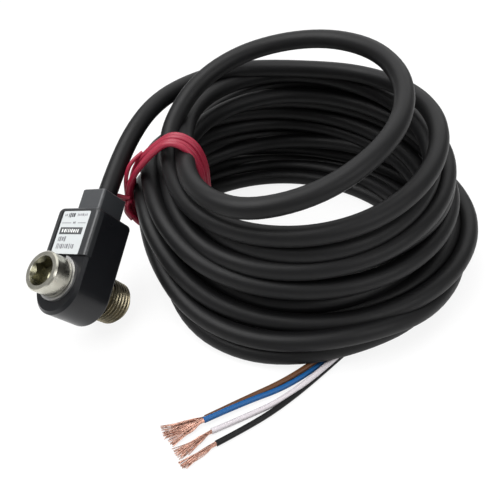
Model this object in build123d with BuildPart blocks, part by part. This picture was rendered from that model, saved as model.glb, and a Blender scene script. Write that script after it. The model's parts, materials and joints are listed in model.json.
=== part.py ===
from build123d import *
import math
import os

# Pressure sensor head with its cable wound in a loose, tied coil. Millimetres, +Z up.
# The head stands on the rim of its port thread, held there by its stiff cable, and the coil
# lies on the same surface. The origin is on that surface, under the middle of the head.

# Housing, in the head's own axes: x across, y along the body towards the cable, z out of
# the front face, with the port's axis at x = y = 0
body_width = 11.6
body_depth = 9.3
body_reach = 15.0
foot_drop = 1.4
foot_radius = body_width / 2
label_rise = 0.6
cover_start = 4.9
wall = 1.0
edge_round = 0.7
corner_round = 1.3
front_chamfer = 0.6
inner_round = 0.65
cover_thickness = 1.0
cover_lip = 0.9
cover_round = 0.7
fit_gap = 0.05
label_width = 8.1
label_length = 9.2
label_depth = 0.15
label_offset = -0.35
ledge_width = 0.8

# Port: one turned metal piece, right through the housing
head_diameter = 8.2
head_height = 4.6
head_chamfer = 0.55
hex_across_flats = 5.0
hex_depth = 3.0
thread_bore = 4.2
thread_bore_depth = 5.0
passage_bore = 2.0
outer_thread_diameter = 9.6
outer_thread_length = 7.7
thread_lead_in = 0.7
seal_groove_depth = 0.7
seal_groove_width = 1.1
front_groove_back = 1.9
rear_groove_back = 6.3
sensing_hole = 1.0
sensing_groove_depth = 0.4
clip_thickness = 0.6
clip_rim = 0.55
clip_groove_depth = 0.4
clip_gap = 1.6

# Sensing cell and electronics
cell_back = 4.65
seat_floor = 5.5
seat_bore = 4.2
cavity_floor = 6.4
cell_disc_diameter = 5.2
cell_disc_thickness = 1.1
cell_hole = 0.8
cell_seal_inner = 1.6
die_side = 2.2
die_thickness = 0.7
board_side_gap = 0.3
board_width = body_width - 2 * (wall + board_side_gap)
board_length = 4.4
board_thickness = 0.8
board_back = 3.0
board_middle = 10.8
amplifier_side = 2.4
amplifier_height = 0.9
amplifier_offset = -1.8
chip_length = 1.0
chip_width = 0.5
chip_height = 0.4
chip_pitch = 1.5
chips_offset = 1.9
lead_side = 0.3
lead_pitch = 0.6
lead_spread = 1.65
lead_lap = 0.8

# Cable entry
cable_diameter = 4.0
cable_below_board = 0.35 * cable_diameter
cable_back = board_back + board_thickness + cable_below_board
block_width = 6.4
block_depth = 6.8
block_height = 5.2
block_round = 0.6
block_lip = 0.6
block_chamfer = 0.3
block_notch = 0.7
block_middle = 4.9
neck_side = 5.4
ferrule_diameter = 4.8
ferrule_length = 1.4
ferrule_start = 15.6
jacket_end = 14.4
exit_run = 5.0
stub_diameter = 0.165 * cable_diameter
stub_pitch = 0.19 * cable_diameter
stub_lap = 1.2
core_colours = ("brown", "white", "black", "blue")

# Where the head stands, and how it is turned
head_place = (-3.3, -7.2)
head_turn = (25.0, -29.0, -14.0)

# The coil's own origin on the surface
coil_place = (33.8, 24.0)

# Outer shape of the coil: height, centre x, centre y, radius
coil_sections = [
    (0.0, 8.5, -7.5, 32.8),
    (5.0, 10.8, -2.8, 38.4),
    (11.0, 12.0, 1.2, 40.4),
    (20.0, 10.0, -0.9, 36.8),
    (29.0, 9.8, -3.4, 33.0),
    (40.0, 9.5, -4.0, 31.4),
]
coil_hole_center = (9.5, -4.6)
coil_hole_radius = 26.0
coil_top = 32.3
coil_top_slope_x = 0.13
coil_top_slope_y = 0.10

# The turns gathered at the tie, where they are lifted off the surface, and the tie's windings
tie_center = (-17.9, -9.0)
tie_turn = -12.0
bundle_width = 14.0
bundle_bottom = 12.5
bundle_top = 32.8
bundle_length = 12.0
bundle_round = 5.5
lift_length = 14.0
lift_reach = 28.0
tie_width = 2.4
tie_pitch = 2.8
tie_thickness = 1.0
knot_diameter = 2.8
knot_length = 3.4
knot_height = 17.5
tail_diameter = 1.3
tail_directions = [(-2.8, -0.6, 1.0), (0.2, -1.6, -2.6)]
tail_length = 3.6

# Cable routes through the coil's own frame
arc_share = 0.45
lead_out_points = [
    (-25.0, 1.2, 31.4),
    (-20.0, 11.5, 33.4),
    (-11.2, 21.2, 33.9),
    (-0.5, 26.6, 34.2),
    (11.2, 25.9, 34.2),
]
loose_turn_points = [
    (-17.7, -9.5, 28.2),
    (-17.0, 0.6, 32.6),
    (-11.9, 8.2, 38.0),
    (-3.2, 14.4, 41.9),
    (7.5, 16.9, 44.3),
    (18.4, 14.6, 45.8),
    (27.2, 6.6, 46.2),
    (31.0, -5.0, 45.0),
    (28.8, -17.2, 42.6),
    (21.6, -27.0, 39.6),
    (10.4, -32.6, 35.6),
    (-1.2, -33.0, 33.4),
    (-9.0, -26.6, 32.4),
    (-12.4, -19.6, 31.8),
    (-13.4, -13.2, 30.9),
]

# The free cores on the surface, and the tips of their bare strands
core_diameter = 1.1
core_routes = {
    "brown": [(20.0, -34.8, 2.6), (13.4, -38.8, 1.9), (6.2, -43.5, 0.8), (-1.2, -46.9, 0.6), (-8.9, -50.6, 0.6)],
    "blue": [(20.0, -34.8, 1.4), (14.0, -39.7, 0.8), (6.4, -45.2, 0.6), (-1.0, -48.5, 0.6), (-8.4, -52.6, 0.6)],
    "white": [(20.7, -35.8, 2.6), (13.2, -41.4, 1.8), (5.4, -47.3, 0.7), (-0.8, -51.5, 0.6), (-6.9, -55.1, 0.6)],
    "black": [(20.7, -35.8, 1.4), (14.2, -41.9, 0.6), (7.0, -48.7, 0.6), (0.6, -53.6, 0.6), (-6.0, -57.6, 0.6)],
}
strand_tips = {
    "brown": (-16.2, -54.6, 0.5),
    "blue": (-14.4, -57.4, 0.5),
    "white": (-11.9, -59.9, 0.5),
    "black": (-11.3, -62.2, 0.5),
}
strand_diameter = 0.9
strand_fan = 2.0
strand_flat = 0.5
strand_round = 0.16

os.makedirs("parts", exist_ok=True)


def save(item, label):
    item.label = label
    export_step(item, f"parts/{label}.step")


# The head's plane: its height comes from the thread's rim touching the surface
turned = Plane(Location((0, 0, 0), head_turn))
thread_end = body_depth + outer_thread_length
lean = math.sqrt(1 - turned.z_dir.Z ** 2)
rim_height = thread_end * turned.z_dir.Z + (outer_thread_diameter / 2 - thread_lead_in) * lean
edge_height = (thread_end - thread_lead_in) * turned.z_dir.Z + outer_thread_diameter / 2 * lean
head = Plane(Location((*head_place, max(rim_height, edge_height)), head_turn))
face_axis = Axis(head.origin, head.z_dir)
length_axis = Axis(head.origin, head.y_dir)
cover_middle = (0, (cover_start + body_reach) / 2)
cavity_depth = body_depth - wall
cavity_width = body_width - 2 * wall
cavity_top = body_reach - wall
cavity_length = cavity_top - cavity_floor
cavity_middle = (0, (cavity_floor + cavity_top) / 2)
head_radius = head_diameter / 2
bore_radius = head_radius + fit_gap


def across(back):
    """The plane square to the port's axis, that far behind the front face."""
    return head.offset(-back)


def along(reach, back):
    """The plane square to the body's length, its origin that far behind the front face."""
    place = head.from_local_coords(Vector(0, reach, -back))
    return Plane(origin=place, x_dir=head.x_dir, z_dir=head.y_dir)


# Housing: a moulded case with a round foot, open at the front above the port
with BuildPart() as housing:
    with BuildSketch(across(body_depth)):
        with BuildLine():
            Polyline((body_width / 2, -foot_drop), (body_width / 2, body_reach),
                     (-body_width / 2, body_reach), (-body_width / 2, -foot_drop))
            RadiusArc((-body_width / 2, -foot_drop), (body_width / 2, -foot_drop), -foot_radius)
        make_face()
    extrude(amount=body_depth)
    fillet(housing.edges().filter_by(face_axis).sort_by(length_axis)[-2:], corner_round)
    fillet(housing.faces().sort_by(face_axis)[0].edges(), edge_round)
    # the step in the front that the cover fills
    with BuildSketch(across(cover_thickness)):
        with Locations(cover_middle):
            Rectangle(body_width, body_reach - cover_start)
    extrude(amount=cover_thickness, mode=Mode.SUBTRACT)
    # the bevel round the port's side of the front
    front_rim = housing.faces().sort_by(face_axis)[-1].edges().sort_by(length_axis)
    chamfer(front_rim[:-1], front_chamfer)
    # the room for the board, with two ledges that the board lies on
    with BuildSketch(across(cavity_depth)):
        with Locations(cavity_middle):
            RectangleRounded(cavity_width, cavity_length, inner_round)
    extrude(amount=cavity_depth - cover_thickness, mode=Mode.SUBTRACT)
    with BuildSketch(across(cavity_depth)):
        with Locations((-cavity_width / 2, board_middle), (cavity_width / 2, board_middle)):
            Rectangle(2 * ledge_width, board_length - ledge_width)
    extrude(amount=cavity_depth - board_back - board_thickness)
    # the port's bore, the sensing cell's seat and the opening for the cable
    with BuildSketch(across(body_depth)):
        Circle(bore_radius)
    extrude(amount=body_depth, mode=Mode.SUBTRACT)
    with BuildSketch(along(seat_floor, cell_back)):
        Circle(seat_bore / 2)
    extrude(amount=cavity_floor - seat_floor, mode=Mode.SUBTRACT)
    with BuildSketch(along(head_radius - wall, cell_back)):
        Circle(sensing_hole / 2)
    extrude(amount=seat_floor - head_radius + wall, mode=Mode.SUBTRACT)
    with BuildSketch(along(cavity_top, cable_back)):
        RectangleRounded(neck_side, neck_side, block_round)
    extrude(amount=wall, mode=Mode.SUBTRACT)
save(housing.part, "housing")

# Front cover: it stands a little proud of the face round the port
with BuildPart() as front_cover:
    with BuildSketch(across(cover_thickness)):
        with Locations(cover_middle):
            Rectangle(body_width, body_reach - cover_start)
    extrude(amount=cover_thickness + label_rise)
    fillet(front_cover.edges().filter_by(face_axis).sort_by(length_axis)[-2:], corner_round)
    rim = front_cover.faces().sort_by(face_axis)[-1].edges().sort_by(length_axis)
    fillet(rim[1:], cover_round)
    # a lip that plugs into the case
    with BuildSketch(across(cover_thickness + cover_lip)):
        with Locations(cavity_middle):
            RectangleRounded(cavity_width - 2 * fit_gap, cavity_length - 2 * fit_gap, inner_round)
            RectangleRounded(cavity_width - wall, cavity_length - wall, inner_round, mode=Mode.SUBTRACT)
    extrude(amount=cover_lip)
    # the shallow bed of the label, open towards the port
    with BuildSketch(across(label_depth - label_rise)):
        with Locations((label_offset, cover_start + label_length / 2)):
            Rectangle(label_width, label_length)
    extrude(amount=label_depth, mode=Mode.SUBTRACT)
save(front_cover.part, "front_cover")

with BuildPart() as label_plate:
    with BuildSketch(across(label_depth - label_rise)):
        with Locations((label_offset, cover_start + label_length / 2)):
            Rectangle(label_width, label_length)
    extrude(amount=label_depth)
save(label_plate.part, "label_plate")

# Port: hexagon socket in front, pressure inlet through the thread, sensing groove between seals
with BuildPart() as pressure_port:
    with BuildSketch(across(body_depth)):
        Circle(head_radius)
    extrude(amount=body_depth + head_height)
    chamfer(pressure_port.faces().sort_by(face_axis)[-1].edges(), head_chamfer)
    with BuildSketch(across(thread_end)):
        Circle(outer_thread_diameter / 2)
    extrude(amount=outer_thread_length)
    chamfer(pressure_port.faces().sort_by(face_axis)[0].edges(), thread_lead_in)
    for groove_back, groove_width, groove_depth in (
        (front_groove_back, seal_groove_width, seal_groove_depth),
        (rear_groove_back, seal_groove_width, seal_groove_depth),
        (cell_back - sensing_hole / 2, sensing_hole, sensing_groove_depth),
        (-clip_thickness, clip_thickness, clip_groove_depth),
    ):
        with BuildSketch(across(groove_back + groove_width)):
            Circle(head_radius)
            Circle(head_radius - groove_depth, mode=Mode.SUBTRACT)
        extrude(amount=groove_width, mode=Mode.SUBTRACT)
    with BuildSketch(across(hex_depth - head_height)):
        RegularPolygon(hex_across_flats / 2, 6, major_radius=False)
    extrude(amount=hex_depth, mode=Mode.SUBTRACT)
    with BuildSketch(across(thread_end)):
        Circle(passage_bore / 2)
    extrude(amount=thread_end - cell_back + passage_bore / 2, mode=Mode.SUBTRACT)
    with BuildSketch(across(thread_end)):
        Circle(thread_bore / 2)
    extrude(amount=thread_bore_depth, mode=Mode.SUBTRACT)
    with BuildSketch(along(0, cell_back)):
        Circle(sensing_hole / 2)
    extrude(amount=head_radius, mode=Mode.SUBTRACT)
save(pressure_port.part, "pressure_port")

# Seal rings on the port: they fill their grooves and touch the bore
seal_wire = seal_groove_depth + fit_gap
seal_round = 0.25 * seal_wire
for label, groove_back in (("front_seal", front_groove_back), ("rear_seal", rear_groove_back)):
    with BuildPart() as port_seal:
        with BuildSketch(across(groove_back + (seal_groove_width + seal_wire) / 2)):
            Circle(bore_radius)
            Circle(bore_radius - seal_wire, mode=Mode.SUBTRACT)
        extrude(amount=seal_wire)
        fillet(port_seal.edges(), seal_round)
    save(port_seal.part, label)

# Retaining clip: an open ring, its gap on the side turned to the cover
with BuildPart() as retaining_clip:
    with BuildSketch(across(0)):
        Circle(head_radius + clip_rim)
        Circle(head_radius - clip_groove_depth, mode=Mode.SUBTRACT)
        with Locations((0, head_radius)):
            Rectangle(clip_gap, 2 * clip_rim + 2 * clip_groove_depth, mode=Mode.SUBTRACT)
    extrude(amount=clip_thickness)
save(retaining_clip.part, "retaining_clip")

# Sensing cell on its seal, above the port
with BuildPart() as cell_seal:
    with BuildSketch(along(seat_floor, cell_back)):
        Circle(seat_bore / 2)
        Circle(cell_seal_inner / 2, mode=Mode.SUBTRACT)
    extrude(amount=cavity_floor - seat_floor)
save(cell_seal.part, "cell_seal")

with BuildPart() as sensing_cell:
    with BuildSketch(along(cavity_floor, cell_back)):
        Circle(cell_disc_diameter / 2)
        Circle(cell_hole / 2, mode=Mode.SUBTRACT)
    extrude(amount=cell_disc_thickness)
save(sensing_cell.part, "sensing_cell")

cell_top = cavity_floor + cell_disc_thickness
with BuildPart() as sensing_die:
    with BuildSketch(along(cell_top, cell_back)):
        Rectangle(die_side, die_side)
    extrude(amount=die_thickness)
save(sensing_die.part, "sensing_die")

lead_back = board_back + board_thickness + lead_side / 2
board_start = board_middle - board_length / 2
with BuildPart() as cell_leads:
    with BuildSketch(along(cell_top, lead_back)):
        with Locations((-lead_spread, 0), (lead_spread, 0)):
            with GridLocations(lead_pitch, lead_side, 2, 1):
                Rectangle(lead_side, lead_side)
    extrude(amount=board_start + lead_lap - cell_top)
save(cell_leads.part, "cell_leads")

# Circuit board on the case's two ledges, chips towards the cover
with BuildPart() as circuit_board:
    with BuildSketch(across(board_back + board_thickness)):
        with Locations((0, board_middle)):
            Rectangle(board_width, board_length)
    extrude(amount=board_thickness)
save(circuit_board.part, "circuit_board")

with BuildPart() as amplifier_chip:
    with BuildSketch(across(board_back)):
        with Locations((amplifier_offset, board_middle)):
            Rectangle(amplifier_side, amplifier_side)
    extrude(amount=amplifier_height)
save(amplifier_chip.part, "amplifier_chip")

with BuildPart() as small_chips:
    with BuildSketch(across(board_back)):
        with Locations((chips_offset, board_middle)):
            with GridLocations(chip_pitch, chip_pitch, 2, 2):
                Rectangle(chip_length, chip_width)
    extrude(amount=chip_height)
save(small_chips.part, "small_chips")

# Strain relief: a block on the top face, a neck through the case and a lip inside it
lip_start = cavity_top - block_lip
with BuildPart() as strain_relief:
    with BuildSketch(along(body_reach, block_middle)):
        Rectangle(block_width, block_depth)
    extrude(amount=block_height)
    fillet(strain_relief.edges().filter_by(length_axis), block_round)
    chamfer(strain_relief.faces().sort_by(length_axis)[-1].edges(), block_chamfer)
    with BuildSketch(along(body_reach, block_middle)):
        with Locations((block_width / 2, -block_depth / 2)):
            Rectangle(2 * block_notch, 2 * block_notch)
    extrude(amount=block_notch, mode=Mode.SUBTRACT)
    with BuildSketch(along(cavity_top, cable_back)):
        RectangleRounded(neck_side, neck_side, block_round)
    extrude(amount=wall)
    with BuildSketch(along(lip_start, cable_back)):
        Rectangle(neck_side + 2 * block_lip, neck_side)
    extrude(amount=block_lip)
    with BuildSketch(along(lip_start, cable_back)):
        Circle(cable_diameter / 2)
    extrude(amount=body_reach + block_height - lip_start, mode=Mode.SUBTRACT)
    with BuildSketch(along(ferrule_start, cable_back)):
        Circle(ferrule_diameter / 2)
    extrude(amount=ferrule_length, mode=Mode.SUBTRACT)
save(strain_relief.part, "strain_relief")

with BuildPart() as crimp_ferrule:
    with BuildSketch(along(ferrule_start, cable_back)):
        Circle(ferrule_diameter / 2)
        Circle(cable_diameter / 2, mode=Mode.SUBTRACT)
    extrude(amount=ferrule_length)
save(crimp_ferrule.part, "crimp_ferrule")

# The cores inside the case, from the end of the cable's jacket to the board
stub_back = board_back + board_thickness + stub_diameter / 2
board_end = board_middle + board_length / 2
for place, colour in enumerate(core_colours):
    stub_offset = (place - (len(core_colours) - 1) / 2) * stub_pitch
    with BuildPart() as core_stub:
        with BuildSketch(along(board_end - stub_lap, stub_back)):
            with Locations((stub_offset, 0)):
                Circle(stub_diameter / 2)
        extrude(amount=jacket_end - board_end + stub_lap)
    save(core_stub.part, f"{colour}_stub")


def placed(points):
    """Points of the coil's own frame, moved to where the coil lies."""
    return [Vector(x + coil_place[0], y + coil_place[1], z) for x, y, z in points]


def cord_tube(points, diameter):
    """A round tube along straight runs joined by the largest tangent arcs they allow."""
    corners = []
    for before, here, after in zip(points, points[1:], points[2:]):
        turn = (here - before).get_angle(after - here)
        shorter = min((here - before).length, (after - here).length)
        corners.append(arc_share * shorter / math.tan(math.radians(turn / 2)))
    with BuildPart() as tube:
        with BuildLine() as route:
            FilletPolyline(*points, radius=corners)
        with BuildSketch(Plane(origin=route.wire() @ 0, z_dir=route.wire() % 0)):
            Circle(diameter / 2)
        sweep()
    length = route.wire().length
    share = tube.part.volume / (length * math.pi * diameter ** 2 / 4)
    print("arc radii", [round(r, 1) for r in corners], "length", round(length, 1), "volume", round(share, 4))
    return tube.part


# Cable from inside the strain relief to the coil, and the loose turn on top of the coil
jacket_start = head.from_local_coords(Vector(0, jacket_end, -cable_back))
exit_point = head.from_local_coords(Vector(0, body_reach + block_height + exit_run, -cable_back))
lead_out = cord_tube([jacket_start, exit_point] + placed(lead_out_points), cable_diameter)
save(lead_out, "cable_lead_out")
loose_turn = cord_tube(placed(loose_turn_points), cable_diameter)
save(loose_turn, "cable_loose_turn")

# Free cores: four tubes from the jacket's end, and their bare strands fanned flat
cores = {}
for colour, points in core_routes.items():
    cores[colour] = cord_tube(placed(points), core_diameter)
    save(cores[colour], f"{colour}_core")
for colour, points in core_routes.items():
    end = placed(points)[-1]
    before = placed(points)[-2]
    tip = placed([strand_tips[colour]])[0]
    with BuildPart() as strands:
        with BuildSketch(Plane(origin=end, x_dir=(end - before).cross(Vector(0, 0, 1)), z_dir=end - before)):
            Circle(strand_diameter / 2)
        with BuildSketch(Plane(origin=tip, x_dir=(tip - end).cross(Vector(0, 0, 1)), z_dir=tip - end)):
            RectangleRounded(strand_fan, strand_flat, strand_round)
        loft()
    save(strands.part, f"{colour}_strands")

# Tie: two windings round the gathered turns, twisted together at a knot with two short tails
tie_angle = math.radians(tie_turn)
tie_plane = Plane(origin=(tie_center[0] + coil_place[0], tie_center[1] + coil_place[1], 0),
                  x_dir=(math.cos(tie_angle), math.sin(tie_angle), 0),
                  z_dir=(math.sin(tie_angle), -math.cos(tie_angle), 0))
bundle_height = bundle_top - bundle_bottom
bundle_middle = (0, (bundle_bottom + bundle_top) / 2)
knot_local = (-bundle_width / 2 - tie_thickness, knot_height)
knot_place = tie_plane.from_local_coords(Vector(*knot_local, 0))
with BuildPart() as cable_tie:
    for winding in (-tie_pitch / 2, tie_pitch / 2):
        with BuildSketch(tie_plane.offset(winding)):
            with Locations(bundle_middle):
                RectangleRounded(bundle_width + 2 * tie_thickness, bundle_height + 2 * tie_thickness,
                                 bundle_round + tie_thickness)
                RectangleRounded(bundle_width, bundle_height, bundle_round, mode=Mode.SUBTRACT)
        extrude(amount=tie_width / 2, both=True)
    with BuildSketch(tie_plane.offset(-knot_length / 2)):
        with Locations(knot_local):
            Circle(knot_diameter / 2)
    extrude(amount=knot_length)
    for direction in tail_directions:
        with BuildSketch(Plane(origin=knot_place, z_dir=direction)):
            Circle(tail_diameter / 2)
        extrude(amount=tail_length)
save(cable_tie.part, "cable_tie")

# Coil: the outer shape of the tied turns, flared at the bottom, open in the middle
coil_lid = Plane(origin=(*coil_place, coil_top), z_dir=(-coil_top_slope_x, -coil_top_slope_y, 1))
with BuildPart() as cable_coil:
    for height, center_x, center_y, radius in coil_sections:
        with BuildSketch(Plane.XY.offset(height)):
            with Locations((center_x + coil_place[0], center_y + coil_place[1])):
                Circle(radius)
    loft()
    split(bisect_by=coil_lid, keep=Keep.BOTTOM)
    with BuildSketch(Plane.XY):
        with Locations((coil_hole_center[0] + coil_place[0], coil_hole_center[1] + coil_place[1])):
            Circle(coil_hole_radius)
    extrude(amount=coil_sections[-1][0], mode=Mode.SUBTRACT)
    # the gap below the lifted turns, then the gathered turns themselves
    with BuildSketch(Plane.YZ.offset(tie_plane.origin.X - lift_reach / 2)):
        with BuildLine():
            flat_start = tie_plane.origin.Y - bundle_length / 2
            flat_end = tie_plane.origin.Y + bundle_length / 2
            Polyline((flat_start - lift_length, 0), (flat_start, bundle_bottom), (flat_end, bundle_bottom),
                     (flat_end + lift_length, 0), close=True)
        make_face()
    extrude(amount=lift_reach, mode=Mode.SUBTRACT)
    with BuildSketch(tie_plane):
        with Locations((0, coil_sections[-1][0] / 2)):
            Rectangle(lift_reach, coil_sections[-1][0])
    extrude(amount=bundle_length / 2, both=True, mode=Mode.SUBTRACT)
    with BuildSketch(tie_plane):
        with Locations(bundle_middle):
            RectangleRounded(bundle_width, bundle_height, bundle_round)
    extrude(amount=bundle_length / 2, both=True)
    # where the tubes, the cores and the tie come to it
    add([lead_out, loose_turn, cable_tie.part, *cores.values()], mode=Mode.SUBTRACT)
save(cable_coil.part, "cable_coil")
print("head height", round(head.origin.Z, 2), "exit", jacket_start, exit_point)
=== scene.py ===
import bmesh
import bpy
import json
import math
import random
from mathutils import Matrix, Vector


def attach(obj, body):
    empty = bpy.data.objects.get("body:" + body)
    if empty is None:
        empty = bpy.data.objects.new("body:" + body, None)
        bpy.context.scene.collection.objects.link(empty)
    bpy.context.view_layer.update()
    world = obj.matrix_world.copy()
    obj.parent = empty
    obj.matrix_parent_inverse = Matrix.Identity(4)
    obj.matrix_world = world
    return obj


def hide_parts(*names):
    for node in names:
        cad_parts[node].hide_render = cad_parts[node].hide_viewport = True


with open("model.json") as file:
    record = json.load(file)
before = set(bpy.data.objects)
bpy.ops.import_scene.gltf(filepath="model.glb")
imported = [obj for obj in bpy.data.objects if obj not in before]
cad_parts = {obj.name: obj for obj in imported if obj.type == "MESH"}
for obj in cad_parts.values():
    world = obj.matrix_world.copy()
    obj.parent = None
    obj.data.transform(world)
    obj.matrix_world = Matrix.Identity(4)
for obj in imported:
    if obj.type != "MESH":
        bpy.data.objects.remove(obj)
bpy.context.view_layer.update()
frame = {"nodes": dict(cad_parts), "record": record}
mm = 0.001


# Camera: the photograph's view, looking along +Y and down
view = {
    "place": (33.8, -94.0, 96.0),
    "down": 40.0,
    "lens": 43.78,
    "sensor": 36.0,
    "nearest": 5.0,
}
camera = bpy.data.objects.new("photoCamera", bpy.data.cameras.new("photoCamera"))
camera.data.lens = view["lens"]
camera.data.sensor_width = view["sensor"]
camera.data.clip_start = view["nearest"] * mm
camera.location = Vector(view["place"]) * mm
camera.rotation_euler = (math.radians(90 - view["down"]), 0, 0)
bpy.context.scene.collection.objects.link(camera)
bpy.context.scene.camera = camera
print("camera ready")


# Sockets that can be used in sums, and one method for every other node
class Sum:
    def __init__(self, paint, socket):
        self.paint = paint
        self.socket = socket

    def __add__(self, other):
        return self.paint.sum("ADD", self, other)

    def __radd__(self, other):
        return self.paint.sum("ADD", other, self)

    def __sub__(self, other):
        return self.paint.sum("SUBTRACT", self, other)

    def __rsub__(self, other):
        return self.paint.sum("SUBTRACT", other, self)

    def __mul__(self, other):
        return self.paint.sum("MULTIPLY", self, other)

    def __rmul__(self, other):
        return self.paint.sum("MULTIPLY", other, self)


class Paint:
    def __init__(self, name):
        self.material = bpy.data.materials.new(name)
        self.material.use_nodes = True
        self.tree = self.material.node_tree
        self.shader = self.tree.nodes["Principled BSDF"]
        self.place = self.node("ShaderNodeTexCoord", out="Object")

    def node(self, kind, settings=None, values=None, out=0):
        made = self.tree.nodes.new(kind)
        for key, value in (settings or {}).items():
            if key == "stops":
                for element, position in zip(made.color_ramp.elements, value):
                    element.position = position
            else:
                setattr(made, key, value)
        for key, value in (values or {}).items():
            self.feed(made.inputs[key], value)
        return Sum(self, made.outputs[out])

    def feed(self, socket, value):
        if isinstance(value, Sum):
            self.tree.links.new(value.socket, socket)
        elif hasattr(value, "__len__") and len(value) == 3 and socket.type == "RGBA":
            socket.default_value = (*value, 1)
        else:
            socket.default_value = value

    def sum(self, operation, first, second):
        return self.node("ShaderNodeMath", {"operation": operation}, {0: first, 1: second})

    def noise(self, size, detail, rough=0.5):
        values = {"Vector": self.place, "Scale": 1 / size, "Detail": detail, "Roughness": rough}
        return self.node("ShaderNodeTexNoise", {}, values)

    # black up to the start, white from the end on
    def ramp(self, value, start, end):
        return self.node("ShaderNodeValToRGB", {"stops": (start, end)}, {"Fac": value})

    def blend(self, factor, first, second):
        made = self.tree.nodes.new("ShaderNodeMix")
        made.data_type = "RGBA"
        self.feed(made.inputs[0], factor)
        self.feed(made.inputs[6], first)
        self.feed(made.inputs[7], second)
        return Sum(self, made.outputs[2])

    def vector(self, operation, first, second):
        result = "Vector" if operation in ("CROSS_PRODUCT", "SUBTRACT") else "Value"
        return self.node("ShaderNodeVectorMath", {"operation": operation}, {0: first, 1: second}, out=result)

    def less(self, value, limit):
        return self.sum("LESS_THAN", value, limit)

    def bump(self, height, depth):
        return self.node("ShaderNodeBump", {}, {"Height": height, "Distance": depth, "Strength": 1.0})

    def finish(self, **values):
        for key, value in values.items():
            self.feed(self.shader.inputs[key.replace("_", " ")], value)
        return self.material


# A moulded or extruded plastic: fine grain, slow colour drift, a few rubbed places. Sizes are millimetres
plastic = {
    "driftSize": 7.0,
    "driftRough": 0.16,
    "lighter": 1.6,
    "leastLight": 0.002,
    "wornSize": 2.6,
    "wornFrom": 0.56,
    "wornTo": 0.78,
    "wornColour": 0.35,
    "wornHeight": 0.4,
    "wornRough": 0.06,
}


def plasticPaint(name, colour, rubbed, rough, grain=0.12, grainDepth=0.004, drift=0.15, shine=0.5):
    paint = Paint(name)
    slow = paint.noise(plastic["driftSize"] * mm, detail=4, rough=0.6)
    fine = paint.noise(grain * mm, detail=2, rough=0.6)
    places = paint.noise(plastic["wornSize"] * mm, detail=6, rough=0.7)
    worn = paint.ramp(places, plastic["wornFrom"], plastic["wornTo"])
    lighter = [part * plastic["lighter"] + plastic["leastLight"] for part in colour]
    base = paint.blend(slow * drift, colour, lighter)
    base = paint.blend(worn * plastic["wornColour"], base, rubbed)
    roughness = rough + slow * plastic["driftRough"] - worn * plastic["wornRough"]
    normal = paint.bump(fine + worn * plastic["wornHeight"], grainDepth * mm)
    return paint.finish(Base_Color=base, Roughness=roughness, Normal=normal, Specular_IOR_Level=shine)


# A turned or rolled metal: bands across the given axis and soft stains. Sizes are millimetres
metal = {
    "bandDetail": 3.0,
    "bandColour": 0.25,
    "bandDarker": 0.72,
    "bandRough": 0.14,
    "stainSize": 1.6,
    "stainFrom": 0.42,
    "stainTo": 0.72,
    "stainRough": 0.1,
    "patchSize": 0.5,
    "patchFrom": 0.4,
    "patchTo": 0.6,
    "patchDarker": 0.55,
}


def metalPaint(name, colour, stain, rough, axis, bands=0.16, bandDepth=0.002, stainAmount=0.35, tones=()):
    paint = Paint(name)
    along = paint.vector("DOT_PRODUCT", paint.place, axis)
    bandValues = {"W": along, "Scale": 1 / (bands * mm), "Detail": metal["bandDetail"]}
    band = paint.node("ShaderNodeTexNoise", {"noise_dimensions": "1D"}, bandValues)
    stains = paint.noise(metal["stainSize"] * mm, detail=5, rough=0.65)
    spots = paint.ramp(stains, metal["stainFrom"], metal["stainTo"])
    base = paint.blend(spots * stainAmount, colour, stain)
    for inTone, tone in tones:
        patches = paint.noise(metal["patchSize"] * mm, detail=4, rough=0.6)
        patch = paint.ramp(patches, metal["patchFrom"], metal["patchTo"])
        mottled = paint.blend(patch, tone, [part * metal["patchDarker"] for part in tone])
        base = paint.blend(inTone(paint, along), base, mottled)
    base = paint.blend(band * metal["bandColour"], base, [part * metal["bandDarker"] for part in colour])
    roughness = rough + band * metal["bandRough"] + spots * metal["stainRough"]
    normal = paint.bump(band, bandDepth * mm)
    return paint.finish(Base_Color=base, Metallic=1.0, Roughness=roughness, Normal=normal)


# The head's own axes in the row's frame, as the case was modelled: x across, y towards the cable and
# z out of the face
headPlace = {"place": (-3.3, -7.2, 15.975), "turn": (25.0, -29.0, -14.0)}
headTurn = Matrix.Identity(3)
for turn, axis in zip(headPlace["turn"], "XYZ"):
    headTurn = headTurn @ Matrix.Rotation(math.radians(turn), 3, axis)
headMatrix = Matrix.Translation(Vector(headPlace["place"]) * mm) @ headTurn.to_4x4() @ Matrix.Scale(mm, 4)
portAxis = headTurn.col[2].copy()
bodyAxis = headTurn.col[1].copy()

# where the port's metal is darker: a browner tone behind the case's back, and within the socket a darker
# tone that is painted shade
portTones = {
    "caseBack": -9.3,
    "socketRadius": 3.0,
    "behind": (0.24, 0.205, 0.13),
    "inside": (0.24, 0.23, 0.15),
}


def behindCase(paint, along):
    return paint.less(along, portAxis.dot(headMatrix @ Vector((0, 0, portTones["caseBack"]))))


# everything within the socket's radius of the axis gets the darker tone, painted shade for the hollow
def inSocket(paint, along):
    fromFace = paint.vector("SUBTRACT", paint.place, headMatrix.translation)
    offAxis = paint.vector("LENGTH", paint.vector("CROSS_PRODUCT", fromFace, portAxis), (0, 0, 0))
    return paint.less(offAxis, portTones["socketRadius"] * mm)


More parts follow.
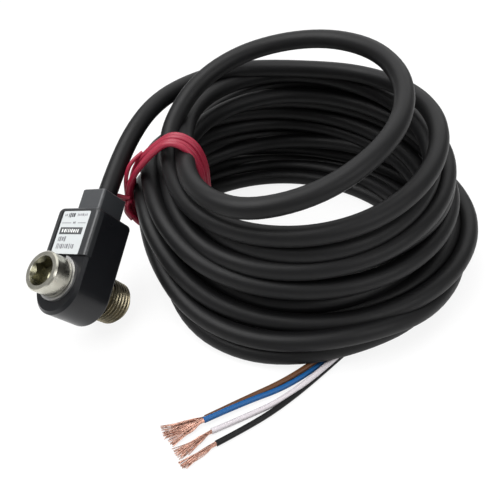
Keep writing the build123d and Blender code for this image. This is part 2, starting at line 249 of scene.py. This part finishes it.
finishes = {
    "housing": plasticPaint("housingPlastic", (0.0045, 0.0048, 0.006), (0.014, 0.014, 0.016), 0.24,
                            shine=0.3),
    "cover": plasticPaint("coverPlastic", (0.016, 0.017, 0.0185), (0.03, 0.03, 0.033), 0.28, shine=0.45),
    "label": plasticPaint("labelFilm", (0.43, 0.45, 0.455), (0.37, 0.38, 0.38), 0.30,
                          grain=0.3, grainDepth=0.002, drift=0.04),
    # the port's metal: browner behind the case, with painted shade inside the socket
    "port_metal": metalPaint("portNickel", (0.47, 0.46, 0.40), (0.38, 0.36, 0.26), 0.20, portAxis,
                             stainAmount=0.2,
                             tones=[(behindCase, portTones["behind"]), (inSocket, portTones["inside"])]),
    "seal_rubber": plasticPaint("sealRubber", (0.02, 0.02, 0.02), (0.05, 0.05, 0.05), 0.55),
    "clip_steel": metalPaint("clipSteel", (0.50, 0.50, 0.50), (0.34, 0.33, 0.30), 0.30, bodyAxis),
    "ceramic": plasticPaint("cellCeramic", (0.80, 0.78, 0.72), (0.70, 0.66, 0.58), 0.45,
                            grain=0.1, grainDepth=0.003, drift=0.1),
    "silicon": plasticPaint("dieSilicon", (0.05, 0.055, 0.07), (0.12, 0.12, 0.14), 0.12,
                            grain=0.4, grainDepth=0.001, drift=0.2),
    "lead_metal": metalPaint("leadGold", (0.80, 0.62, 0.30), (0.60, 0.42, 0.18), 0.22, bodyAxis),
    "board": plasticPaint("boardMask", (0.02, 0.16, 0.06), (0.05, 0.26, 0.12), 0.28,
                          grain=0.3, grainDepth=0.003, drift=0.3),
    "chip": plasticPaint("chipMould", (0.02, 0.02, 0.02), (0.06, 0.06, 0.06), 0.5),
    "small_chip": plasticPaint("smallChipBody", (0.42, 0.30, 0.20), (0.60, 0.55, 0.48), 0.4),
    "relief": plasticPaint("reliefRubber", (0.022, 0.024, 0.027), (0.045, 0.045, 0.05), 0.38, shine=0.6),
    "ferrule": metalPaint("ferruleBrass", (0.72, 0.62, 0.40), (0.5, 0.4, 0.22), 0.3, bodyAxis),
    "jacket": plasticPaint("jacketPvc", (0.0028, 0.0028, 0.0031), (0.009, 0.009, 0.009), 0.42,
                           grain=0.25, grainDepth=0.006, drift=0.3, shine=0.2),
    "tie": plasticPaint("tieRubber", (0.22, 0.003, 0.022), (0.33, 0.016, 0.05), 0.42,
                        grain=0.3, grainDepth=0.006, drift=0.25),
    "brown_core": plasticPaint("brownCore", (0.075, 0.028, 0.009), (0.12, 0.05, 0.02), 0.34,
                               grain=0.3, grainDepth=0.003, shine=0.3),
    "blue_core": plasticPaint("blueCore", (0.002, 0.064, 0.20), (0.01, 0.10, 0.28), 0.34,
                              grain=0.3, grainDepth=0.003, shine=0.35),
    "white_core": plasticPaint("whiteCore", (0.45, 0.42, 0.44), (0.38, 0.355, 0.37), 0.36,
                               grain=0.3, grainDepth=0.003, drift=0.1),
    "black_core": plasticPaint("blackCore", (0.003, 0.003, 0.0035), (0.01, 0.01, 0.01), 0.34,
                               grain=0.3, grainDepth=0.003, shine=0.2),
    "copper": metalPaint("bareCopper", (0.48, 0.29, 0.23), (0.26, 0.12, 0.085), 0.17, (0.8, 0.6, 0.0),
                         bands=0.12, bandDepth=0.004, stainAmount=0.7),
}
for part in frame["record"]["subparts"]:
    for materialSlot in frame["nodes"][part["node"]].material_slots:
        materialSlot.material = finishes[part["material_slot"]]
print("finishes ready")


# A finished piece: linked, riding on the part's one body, with its finish and the nodes it stands for
def place(piece, slotName, *nodes):
    bpy.context.scene.collection.objects.link(piece)
    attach(piece, "root")
    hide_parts(*nodes)
    if not piece.data.materials:
        piece.data.materials.append(finishes[slotName])
    return piece


# A curve that holds round cords, and one cord along points in metres
def roundCurve(name, sides, steps, capped=True):
    curve = bpy.data.curves.new(name, "CURVE")
    curve.dimensions = "3D"
    curve.bevel_depth = 1.0  # metres, scaled by each point's radius
    curve.bevel_resolution = sides
    curve.resolution_u = steps
    curve.use_fill_caps = capped
    return curve


def addCord(curve, points, radius, closed=False):
    spline = curve.splines.new("NURBS")
    spline.points.add(len(points) - 1)
    for point, spot in zip(spline.points, points):
        point.co = (*spot, 1)
        point.radius = radius
    spline.order_u = 3
    spline.use_endpoint_u = not closed
    spline.use_cyclic_u = closed


def sweptCord(name, points, diameter, sides, steps):
    curve = roundCurve(name, sides, steps)
    addCord(curve, points, diameter / 2)
    return bpy.data.objects.new(name, curve)


# Cable: out of the head, round the coil, with one loose turn on top. The places of the cable, the cores
# and the tie are millimetres, with x and y counted from the coil's place
coil = {
    "place": (33.8, 24.0),
    "middle": (10.0, -3.0),
    "diameter": 4.0,
    "sides": 6,
    "smooth": 6,
    "step": 20.0,
    "cut": 0.985,  # the curve cuts inside its points by this much
    "tieAngle": 258.0,
    "tieY": -9.0,
    "pinch": 28.0,
    "endAngle": 150.0,
}
# each turn: (radius, height) behind, at the right, in front, at the left, then (x, height) under the tie,
# which the last turn doesn't reach
turns = {
    "top": [(28.2, 34), (28.7, 35.4), (30.2, 28), (29.7, 26.6), (-17.4, 28.4)],
    "second": [(31, 31.3), (28.5, 29.3), (30, 23.8), (26.5, 23.8), (-13.6, 26.3)],
    "innerUpper": [(29.3, 26.6), (33, 23.4), (27.6, 18.3), (28.5, 19.2), (-13.2, 22.4)],
    "third": [(32.6, 28.3), (32.2, 27.0), (31.2, 20.7), (32, 20.7), (-17.6, 24.4)],
    "fourth": [(34, 23), (34.5, 19.6), (32, 16.5), (35, 20), (-21.4, 24.1)],
    "fifth": [(34.5, 19.3), (31, 17), (28.5, 13.5), (32, 16.5), (-12.9, 18.4)],
    "sixth": [(35.5, 15.3), (31.5, 13), (29.2, 10), (32, 13), (-16.9, 20.5)],
    "widest": [(37, 11.3), (40.5, 12), (32.8, 8.2), (36, 12), (-23.6, 20.6)],
    "eighth": [(36, 7.3), (38.3, 6.5), (36.5, 5.8), (35.2, 7.2), (-23.3, 15.4)],
    "innerLower": [(33, 11), (36.8, 12), (28.5, 6.4), (30.8, 8), (-20.2, 18.2)],
    "ninth": [(37.5, 2.8), (34.8, 4), (36.5, 2.1), (35.5, 2.1), (-19.6, 14.3)],
    "innerLowest": [(33, 3), (30, 6), (31.6, 4.4), (31, 3), (-16.2, 16.4)],
    "last": [(29, 2.1), (31, 2.1), (33, 2.1), (33, 2.1)],
}
# two turns rise where the free cores come out from under them
rise = {"angle": 162.0, "width": 20.0, "height": 2.5, "turns": ("eighth", "ninth")}
leadOut = [(-31.53, -17.33, 19.29), (-29.25, -8.37, 24.87), (-25.0, 1.2, 31.4), (-20.0, 11.5, 33.4),
           (-11.2, 20.8, 33.9), (-0.5, 25.8, 34.2)]
looseTurn = [(-17.6, -5.2, 29.6), (-16.6, 0.8, 33.0), (-11.9, 8.2, 38.0), (-3.2, 14.2, 41.9),
             (7.5, 16.6, 44.3), (18.2, 14.6, 45.8), (26.8, 6.8, 46.2), (30.4, -4.8, 45.0),
             (28.4, -16.8, 42.6), (21.4, -26.4, 39.6), (11.4, -31.8, 35.8), (-0.2, -33.4, 33.6),
             (-7.6, -28.6, 32.6), (-12.0, -20.6, 32.0)]
lastBend = [(27.5, -30.0, 2.1), (23.8, -32.6, 2.1), (20.5, -34.8, 2.1), (18.0, -36.8, 2.1)]
# where the loose turn comes back under the tie: the top turn's front and left, and the place under the tie
afterLoose = [(26.0, 31.5), (24.6, 31.0)]
looseSlot = (-13.4, 30.4)


# The middle stretch of a smooth curve through four values, as far along as the share says
def smoothStep(before, start, end, after, share):
    bend = (after - 3 * end + 3 * start - before) * share ** 3
    slope = (2 * before - 5 * start + 4 * end - after) * share ** 2
    return (2 * start + (end - before) * share + slope + bend) / 2


def coilPoint(angle, stations, slot, lifted):
    index = int(angle // 90)
    share = angle / 90 - index
    near = [stations[min(max(index + k, 0), len(stations) - 1)] for k in (-1, 0, 1, 2)]
    radius = smoothStep(*[station[0] for station in near], share) / coil["cut"]
    height = smoothStep(*[station[1] for station in near], share)
    middleX, middleY = coil["middle"]
    if slot:
        slotAngle, slotX, slotHeight = slot
        pinch = math.exp(-((angle - slotAngle) / coil["pinch"]) ** 2)
        radius += (math.hypot(slotX - middleX, coil["tieY"] - middleY) - radius) * pinch
        height += (slotHeight - height) * pinch
    if lifted:
        height += rise["height"] * math.exp(-((angle % 360 - rise["angle"]) / rise["width"]) ** 2)
    turned = math.radians(90 - angle)
    return (middleX + radius * math.cos(turned), middleY + radius * math.sin(turned), height)


def toRow(points):
    return [((x + coil["place"][0]) * mm, (y + coil["place"][1]) * mm, z * mm) for x, y, z in points]


def cableRoute():
    names = list(turns)
    stations = [pair for name in names for pair in turns[name][:4]]
    route = list(leadOut)
    angle = coil["step"]
    while angle < coil["tieAngle"]:
        route.append(coilPoint(angle, stations, (coil["tieAngle"], *turns["top"][4]), False))
        angle += coil["step"]
    route += looseTurn
    stations[2:4] = afterLoose
    slots = [looseSlot] + [turns[name][4] for name in names[1:-1]]
    angle = coil["tieAngle"]
    lastAngle = 360 * (len(names) - 1) + coil["endAngle"]
    while angle < lastAngle:
        crossing = round((angle - coil["tieAngle"]) / 360)
        slot = (coil["tieAngle"] + 360 * crossing, *slots[crossing]) if crossing < len(slots) else None
        lifted = names[int(angle // 360)] in rise["turns"]
        route.append(coilPoint(angle, stations, slot, lifted))
        angle += coil["step"]
    return toRow(route + lastBend)


cableCurve = sweptCord("cable", cableRoute(), coil["diameter"] * mm, coil["sides"], coil["smooth"])
cable = place(cableCurve, "jacket", "cable_lead_out", "cable_coil", "cable_loose_turn")

# Free cores: blue and brown side by side, then white, then black
coreSizes = {"diameter": 1.1, "sides": 4, "smooth": 10}
coreRoutes = {
    "brown": [(20.0, -34.8, 2.6), (14.2, -39.0, 1.9), (6.8, -44.4, 1.3), (-0.8, -48.1, 0.7),
              (-8.2, -52.3, 0.6)],
    "blue": [(20.0, -34.8, 1.4), (14.4, -39.8, 0.9), (6.8, -45.5, 0.7), (-1.0, -49.1, 1.0),
             (-8.4, -53.2, 1.2)],
    "white": [(20.7, -35.8, 2.6), (13.9, -42.2, 1.6), (5.9, -48.5, 0.7), (-0.5, -51.9, 0.6),
              (-6.9, -55.1, 0.6)],
    "black": [(20.7, -35.8, 1.4), (14.2, -41.9, 0.6), (7.0, -48.7, 0.6), (0.6, -53.6, 0.6),
              (-6.0, -57.6, 0.6)],
}
# the bare wires leave each core as a bundle and fan out to its tip
fans = {
    "brown": {"tip": (-15.8, -55.4), "spread": 2.5, "wires": 26},
    "blue": {"tip": (-14.6, -56.9), "spread": 2.7, "wires": 26},
    "white": {"tip": (-12.9, -59.9), "spread": 2.1, "wires": 24},
    "black": {"tip": (-11.9, -61.9), "spread": 1.5, "wires": 20},
}
wires = {
    "radius": 0.095,
    "sides": 1,
    "smooth": 4,
    "bundle": 0.36,
    "spiral": 0.618,
    "inCore": 0.9,
    "beyondCore": 0.4,
    "stations": (0.35, 0.65, 1.0),
    "tipHeight": 0.4,
    "shorter": 0.25,
    "uneven": 0.06,
    "opening": 0.8,
    "wander": 0.3,
    "waves": 5,
    "lowest": 0.2,
    "highest": 0.9,
    "sink": 0.3,
}


def wirePath(wire, fan, points):
    start = Vector(points[-1])
    heading = (start - Vector(points[-2])).normalized()
    toTip = Vector((*fan["tip"], wires["tipHeight"])) - start
    side = toTip.cross(Vector((0, 0, 1))).normalized()
    share = wire / (fan["wires"] - 1) - 0.5
    ring = math.tau * wire * wires["spiral"]
    inside = wires["bundle"] * math.sqrt((wire + 0.5) / fan["wires"])
    offset = side * inside * math.cos(ring) + Vector((0, 0, inside * math.sin(ring)))
    reach = 1 - wires["shorter"] * random.random() ** 2
    wander = random.uniform(-wires["wander"], wires["wander"])
    path = [start - heading * wires["inCore"] + offset, start + heading * wires["beyondCore"] + offset]
    for along in wires["stations"]:
        lane = share + random.uniform(-wires["uneven"], wires["uneven"])
        spread = fan["spread"] * lane * along ** wires["opening"]
        spot = start + toTip * along * reach + side * (spread + wander * math.sin(along * wires["waves"]))
        spot.z = wires["lowest"] + (wires["highest"] - wires["sink"] * along) * random.random()
        path.append(spot)
    return path


random.seed(7)
for colour, points in coreRoutes.items():
    coreCurve = sweptCord(f"{colour}FreeCore", toRow(points), coreSizes["diameter"] * mm,
                          coreSizes["sides"], coreSizes["smooth"])
    core = place(coreCurve, f"{colour}_core", f"{colour}_core")
    toRow([points[0]])[0]
    bareWires = roundCurve(f"{colour}BareStrands", wires["sides"], wires["smooth"])
    for wire in range(fans[colour]["wires"]):
        addCord(bareWires, toRow(wirePath(wire, fans[colour], points)), wires["radius"] * mm)
    place(bpy.data.objects.new(f"{colour}BareStrands", bareWires), "copper", f"{colour}_strands")
print("cable and cores ready")


# Tie: a soft twin strand wound twice round the gathered turns, pulled together at the left
tie = {
    "middle": (-17.9, -9.0),
    "turn": -12.0,
    "sides": 4,
    "smooth": 10,
    "strand": 1.25,
    "looseStrand": 0.9,
    "tailStrand": 0.95,
    "offsets": (-2.0, -0.86, 0.86, 2.0),
    "sway": {"along": 0.18, "pace": 1.7, "height": 0.12, "heightPace": 2.3},
    "ring": [(-8.5, 20.5), (-7.7, 23.2), (-5.4, 27.0), (-1.6, 31.8), (2.2, 34.7), (6.4, 33.0), (8.3, 28.5),
             (8.6, 24.0), (8.8, 19.5), (8.0, 14.6), (4.6, 11.9), (0.0, 11.3), (-5.6, 11.8), (-8.6, 15.0)],
    "slack": {1: (-8.0, 23.8), 2: (-6.0, 27.6)},  # where the back winding hangs off the turns
}
tieTurn = math.radians(tie["turn"])
tieAcross = Vector((math.cos(tieTurn), math.sin(tieTurn), 0))
tieAlong = Vector((math.sin(tieTurn), -math.cos(tieTurn), 0))


def softStrands(name, routes, closed):
    curve = roundCurve(name, tie["sides"], tie["smooth"], not closed)
    for points, diameter in routes:
        addCord(curve, toRow(points), diameter / 2 * mm, closed)
    return bpy.data.objects.new(name, curve)


def winding(count, offset):
    sway = tie["sway"]
    spots = []
    for corner, (across, height) in enumerate(tie["ring"]):
        if offset < 0:
            across, height = tie["slack"].get(corner, (across, height))
        forward = offset + sway["along"] * math.sin(corner * sway["pace"] + count)
        spot = Vector((*tie["middle"], 0)) + tieAcross * across + tieAlong * forward
        raised = height + sway["height"] * math.cos(corner * sway["heightPace"] + count)
        spots.append((spot.x, spot.y, raised))
    return spots


windings = [(winding(count, offset), tie["strand"]) for count, offset in enumerate(tie["offsets"])]
place(softStrands("tieWindings", windings, True), "tie", "cable_tie")

knot = {
    "middle": (-26.9, -8.6, 18.6),
    "radius": 0.8,
    "turns": 2.0,
    "start": 1.2,
    "length": 2.2,
    "sway": 0.3,
    "points": 24,
    "strand": 1.1,
}
knotX, knotY, knotZ = knot["middle"]
knotCoil = []
for step in range(knot["points"]):
    share = step / (knot["points"] - 1)
    around = math.tau * knot["turns"] * share
    knotCoil.append((knotX + knot["radius"] * math.cos(around),
                     knotY - knot["start"] + knot["length"] * share + knot["sway"] * math.sin(around / 2),
                     knotZ + knot["radius"] * math.sin(around)))
place(softStrands("tieKnot", [(knotCoil, knot["strand"])], False), "tie", "cable_tie")

# the strand between the knot and the windings, and two tails of two strands each
looseStrand = [(-26.7, -9.3, 19.2), (-26.8, -9.0, 22.5), (-26.2, -8.6, 25.6), (-25.0, -7.8, 28.0),
               (-22.6, -6.6, 29.4)]
tieTails = [
    [(-26.4, -9.4, 19.2), (-27.6, -9.8, 19.6), (-28.4, -10.0, 20.2), (-29.4, -10.2, 20.4)],
    [(-26.6, -9.8, 18.4), (-27.2, -10.8, 17.6), (-26.6, -11.2, 16.4), (-25.8, -11.4, 15.4)],
]
beside = Vector((0.25, -0.35, 0.75))
tailRoutes = [(looseStrand, tie["looseStrand"])]
for tail in tieTails:
    tailRoutes.append((tail, tie["tailStrand"]))
    tailRoutes.append(([tuple(Vector(spot) + beside) for spot in tail], tie["tailStrand"]))
place(softStrands("tieTails", tailRoutes, False), "tie", "cable_tie")
print("tie ready")


# Port: head with a chamfered hexagon socket, a plain shank, and the tapered outer thread. Heights are
# millimetres out of the case's face
port = {
    "headRadius": 4.1,
    "headTop": 4.6,
    "edge": 0.26,
    "edgeSoft": 0.1,
    "edgeShoulder": 0.8,
    "mouthRadius": 3.04,
    "mouthSlope": 2.0,
    "acrossFlats": 5.0,
    "socketFloor": 1.6,
    "dimpleRadius": 1.3,
    "dimpleDepth": 0.8,
    "centre": 0.02,
    "grooveRadius": 3.7,
    "grooveTop": 0.6,
    "grooveEdge": 0.75,
    "collarRadius": 4.72,
    "collarEdge": 0.1,
    "collarEnd": -9.9,
    "threadRoot": 4.22,
    "threadTop": -10.15,
    "threadFoot": 4.02,
    "threadEnd": -17.0,
    "endRadius": 3.75,
    "endEdge": 0.35,
    "boreRadius": 2.1,
    "boreDepth": 5.0,
    "boreTip": 0.6,
    "passRadius": 1.0,
    "passEnd": -4.4,
    "segments": 96,
    "crease": 25.0,
}


def intoRow(mesh, name, crease):
    bmesh.ops.recalc_face_normals(mesh, faces=mesh.faces)
    data = bpy.data.meshes.new(name)
    mesh.to_mesh(data)
    mesh.free()
    data.transform(headMatrix)
    data.shade_smooth()
    data.set_sharp_from_angle(angle=math.radians(crease))
    return bpy.data.objects.new(name, data)


def ringAt(mesh, radius, height):
    verts = []
    for step in range(port["segments"]):
        angle = math.tau * step / port["segments"]
        far = radius(angle) if callable(radius) else radius
        high = height(far) if callable(height) else height
        verts.append(mesh.verts.new((far * math.cos(angle), far * math.sin(angle), high)))
    return [mesh.edges.new((verts[i], verts[i - 1])) for i in range(len(verts))]


def hexagon(angle):
    sector = (angle + math.pi / 6) % (math.pi / 3) - math.pi / 6
    return port["acrossFlats"] / 2 / math.cos(sector)


def mouthHeight(radius):
    return port["headTop"] - (port["mouthRadius"] - radius) * port["mouthSlope"]


# From the socket's floor out over the head, down the shank, and up the bore from the thread's end
def portOutline():
    floorHeight = port["socketFloor"]
    head = port["headRadius"]
    top = port["headTop"]
    back = portTones["caseBack"]
    collar = port["collarRadius"]
    end = port["threadEnd"]
    endEdge = port["endEdge"]
    bore = port["boreRadius"]
    boreEnd = end + port["boreDepth"]
    return [
        (port["centre"], floorHeight - port["dimpleDepth"]),
        (port["dimpleRadius"], floorHeight),
        (hexagon, floorHeight),
        (hexagon, mouthHeight),
        (port["mouthRadius"], top),
        (head - port["edge"], top),
        (head - port["edgeSoft"], top - port["edge"] * port["edgeShoulder"]),
        (head, top - port["edge"] - port["edgeSoft"]),
        (head, port["grooveEdge"]),
        (port["grooveRadius"], port["grooveTop"]),
        (port["grooveRadius"], 0.0),
        (head, 0.0),
        (head, back),
        (collar - port["collarEdge"], back),
        (collar, back - port["collarEdge"]),
        (collar, port["collarEnd"]),
        (port["threadRoot"], port["threadTop"]),
        (port["threadFoot"], end + endEdge),
        (port["endRadius"], end),
        (bore + endEdge, end),
        (bore, end + endEdge),
        (bore, boreEnd),
        (port["passRadius"], boreEnd + port["boreTip"]),
        (port["passRadius"], port["passEnd"]),
    ]


portMesh = bmesh.new()
rings = [ringAt(portMesh, radius, height) for radius, height in portOutline()]
for upper, lower in zip(rings, rings[1:]):
    bmesh.ops.bridge_loops(portMesh, edges=upper + lower)
for closing in (rings[0], rings[-1]):
    bmesh.ops.contextual_create(portMesh, geom=closing)
place(intoRow(portMesh, "portBody", port["crease"]), "port_metal", "pressure_port")

# the ridge of the thread: one wedge wound down the shank, which grows out of it and runs into it again
thread = {
    "pitch": 0.907,
    "crest": 4.8,
    "flat": 0.06,
    "flank": 0.46,
    "edge": 0.02,
    "sunk": 0.25,
    "start": -10.4,
    "turns": 6.6,
    "steps": 48,
    "taper": 1 / 32,
    "fade": 0.6,
    "early": 0.5,
    "crease": 20.0,
}
threadLength = thread["pitch"] * thread["turns"]
ridgeMesh = bmesh.new()
halfWidth = thread["pitch"] * thread["flank"]
wedgeSide = [(port["threadRoot"] - thread["sunk"], halfWidth),
             (port["threadRoot"] - thread["edge"], halfWidth),
             (thread["crest"], thread["flat"])]
wedge = [(radius, -height) for radius, height in wedgeSide] + wedgeSide[::-1]
wedgeVerts = [ridgeMesh.verts.new((radius, 0, thread["start"] + height)) for radius, height in wedge]
wedgeFace = ridgeMesh.faces.new(wedgeVerts)
stepsInAll = int(thread["turns"] * thread["steps"])
wound = bmesh.ops.spin(ridgeMesh, geom=[wedgeFace], axis=(0, 0, 1), cent=(0, 0, 0),
                       dvec=(0, 0, -threadLength / stepsInAll), angle=math.tau * thread["turns"],
                       steps=stepsInAll, use_duplicate=False)
lastWedge = [part for part in wound["geom_last"] if isinstance(part, bmesh.types.BMVert)]
bmesh.ops.contextual_create(ridgeMesh, geom=lastWedge)
for vert in ridgeMesh.verts:
    radius = math.hypot(vert.co.x, vert.co.y)
    down = thread["start"] - vert.co.z
    fromStart = max(0, down + thread["early"]) / thread["fade"]
    fromEnd = max(0, threadLength + thread["early"] - down) / thread["fade"]
    grown = min(1, fromStart, fromEnd)
    target = radius - down * thread["taper"] - max(0, radius - port["threadRoot"]) * (1 - grown)
    vert.co.x *= target / radius
    vert.co.y *= target / radius
place(intoRow(ridgeMesh, "portThread", thread["crease"]), "port_metal", "pressure_port")
print("port ready")


# Label: a white sheet with plain bars and rules in three inks
label = {
    "middle": (-0.1, 9.5),
    "size": (7.6, 9.2),
    "top": 0.6,
    "thickness": 0.15,
    "corner": 0.35,
    "cornerSteps": 5,
    "ink": 0.02,
    "crease": 30.0,
}
sheetMesh = bmesh.new()
sheetVerts = bmesh.ops.create_cube(sheetMesh, size=1.0)["verts"]
bmesh.ops.scale(sheetMesh, vec=(*label["size"], label["thickness"]), verts=sheetVerts)
sheetMiddle = (*label["middle"], label["top"] - label["thickness"] / 2)
bmesh.ops.translate(sheetMesh, vec=sheetMiddle, verts=sheetVerts)
upright = [edge for edge in sheetMesh.edges
           if abs(edge.verts[0].co.z - edge.verts[1].co.z) > label["thickness"] / 2]
bmesh.ops.bevel(sheetMesh, geom=upright, offset=label["corner"], segments=label["cornerSteps"], profile=0.5,
                affect="EDGES", material=-1)
place(intoRow(sheetMesh, "labelSheet", label["crease"]), "label", "label_plate")

# rules as (u, v, width, height) and rows of bars as (start, end, v, height, width, gap), all counted from
# the label's middle
inks = {
    "labelGreyBars": {
        "rules": [(-2.05, 2.0, 2.6, 0.15), (2.2, 2.0, 2.2, 0.15), (0.0, 2.05, 0.5, 0.4),
                  (0.4, 2.05, 0.16, 0.55)],
        "rows": [(0.4, 3.1, 3.75, 0.6, 0.2, 0.18), (-3.2, -2.7, 3.7, 0.5, 0.2, 0.2),
                 (-3.0, -0.7, -1.45, 1.1, 0.32, 0.2), (-2.9, 2.1, -3.0, 1.15, 0.32, 0.22)],
        "raised": 0.0,
        "finish": plasticPaint("inkGrey", (0.13, 0.13, 0.14), (0.2, 0.2, 0.2), 0.5,
                               grain=0.2, grainDepth=0.001, drift=0.3),
    },
    "labelDarkBars": {
        "rules": [(-0.15, 0.3, 6.3, 1.5)],
        "rows": [(-2.1, -0.5, 3.7, 1.05, 0.34, 0.14)],
        "raised": 0.0,
        "finish": plasticPaint("inkDark", (0.035, 0.037, 0.040), (0.10, 0.10, 0.10), 0.45,
                               grain=0.2, grainDepth=0.001, drift=0.2),
    },
    "labelBandBars": {
        "rules": [],
        "rows": [(-2.7, 2.4, 0.3, 0.85, 0.26, 0.3)],
        "raised": 0.012,
        "finish": plasticPaint("inkLight", (0.62, 0.63, 0.62), (0.5, 0.5, 0.5), 0.5,
                               grain=0.2, grainDepth=0.001, drift=0.2),
    },
}
unevenBars = {"width": (0.6, 1.5), "shift": (-0.03, 0.03), "height": (0.75, 1.0), "gap": (0.7, 1.3)}


def barRow(start, end, v, height, width, gap):
    row = []
    u = start
    while u < end:
        wide = width * random.uniform(*unevenBars["width"])
        shifted = v + random.uniform(*unevenBars["shift"])
        row.append((u + wide / 2, shifted, wide, height * random.uniform(*unevenBars["height"])))
        u += wide + gap * random.uniform(*unevenBars["gap"])
    return row


def bars(name, boxes, raised):
    mesh = bmesh.new()
    for u, v, width, height in boxes:
        verts = bmesh.ops.create_cube(mesh, size=1.0)["verts"]
        bmesh.ops.scale(mesh, vec=(width, height, label["ink"]), verts=verts)
        middle = (label["middle"][0] + u, label["middle"][1] + v, label["top"] + raised)
        bmesh.ops.translate(mesh, vec=middle, verts=verts)
    return intoRow(mesh, name, label["crease"])


random.seed(11)
for name, ink in inks.items():
    boxes = list(ink["rules"])
    for row in ink["rows"]:
        boxes += barRow(*row)
    marks = bars(name, boxes, ink["raised"])
    marks.data.materials.append(ink["finish"])
    place(marks, "label", "label_plate")
print("label ready")


# Floor: plain paper, which glows towards the camera so that it looks as white as the background. Sizes
# are metres
floorLook = {
    "half": 1.5,
    "grain": 0.004,
    "darker": (0.86, 0.86, 0.86),
    "lighter": (0.89, 0.89, 0.89),
    "rough": 0.9,
    "near": 0.12,
    "far": 0.35,
    "nearGlow": 0.86,
    "farGlow": 1.0,
    "mirrored": 0.45,
}
floorPaint = Paint("paperFloor")
grain = floorPaint.noise(floorLook["grain"], detail=2)
paper = floorPaint.blend(grain, floorLook["darker"], floorLook["lighter"])
floorPaint.finish(Base_Color=paper, Roughness=floorLook["rough"])
distance = floorPaint.vector("LENGTH", floorPaint.place, (0, 0, 0))
glowValues = {
    "Value": distance,
    "From Min": floorLook["near"],
    "From Max": floorLook["far"],
    "To Min": floorLook["nearGlow"],
    "To Max": floorLook["farGlow"],
}
glowShare = floorPaint.node("ShaderNodeMapRange", {}, glowValues)
seen = (floorPaint.node("ShaderNodeLightPath", out="Is Camera Ray") * glowShare
        + floorPaint.node("ShaderNodeLightPath", out="Is Glossy Ray") * floorLook["mirrored"])
glow = floorPaint.node("ShaderNodeEmission", {}, {"Color": (1, 1, 1), "Strength": 1.0})
lit = Sum(floorPaint, floorPaint.shader.outputs[0])
mixed = floorPaint.node("ShaderNodeMixShader", {}, {0: seen, 1: lit, 2: glow})
floorPaint.feed(floorPaint.tree.nodes["Material Output"].inputs["Surface"], mixed)
floorMesh = bmesh.new()
bmesh.ops.create_grid(floorMesh, x_segments=2, y_segments=2, size=floorLook["half"])
floorData = bpy.data.meshes.new("floor")
floorMesh.to_mesh(floorData)
floorMesh.free()
floorData.materials.append(floorPaint.material)
floor = bpy.data.objects.new("floor", floorData)
bpy.context.scene.collection.objects.link(floor)

# Studio: a white background that lights less than it shows, and three lamps. Sizes are metres
studio = {"seen": 1.0, "light": 0.32}
world = bpy.data.worlds.new("studio")
world.use_nodes = True
worldNodes = world.node_tree.nodes
background = worldNodes["Background"]
background.inputs["Color"].default_value = (1, 1, 1, 1)
rays = worldNodes.new("ShaderNodeLightPath")
strength = worldNodes.new("ShaderNodeMapRange")
strength.inputs["To Min"].default_value = studio["light"]
strength.inputs["To Max"].default_value = studio["seen"]
world.node_tree.links.new(rays.outputs["Is Camera Ray"], strength.inputs["Value"])
world.node_tree.links.new(strength.outputs["Result"], background.inputs["Strength"])
bpy.context.scene.world = world

lamps = {
    "keyLamp": {"place": (-0.22, -0.05, 0.55), "aim": (0.03, 0.02, 0.02), "size": 0.5, "power": 5.5},
    "fillLamp": {"place": (0.45, -0.35, 0.40), "aim": (0.03, 0.02, 0.02), "size": 0.35, "power": 1.6},
    "backLamp": {"place": (0.10, 0.45, 0.50), "aim": (0.04, 0.03, 0.02), "size": 0.9, "power": 3.6},
}
for name, lamp in lamps.items():
    light = bpy.data.lights.new(name, "AREA")
    light.size = lamp["size"]
    light.energy = lamp["power"]
    lampObject = bpy.data.objects.new(name, light)
    lampObject.location = lamp["place"]
    towards = Vector(lamp["aim"]) - Vector(lamp["place"])
    lampObject.rotation_euler = towards.to_track_quat("-Z", "Y").to_euler()
    bpy.context.scene.collection.objects.link(lampObject)
bpy.context.scene.view_settings.view_transform = "Standard"
print("stage ready")
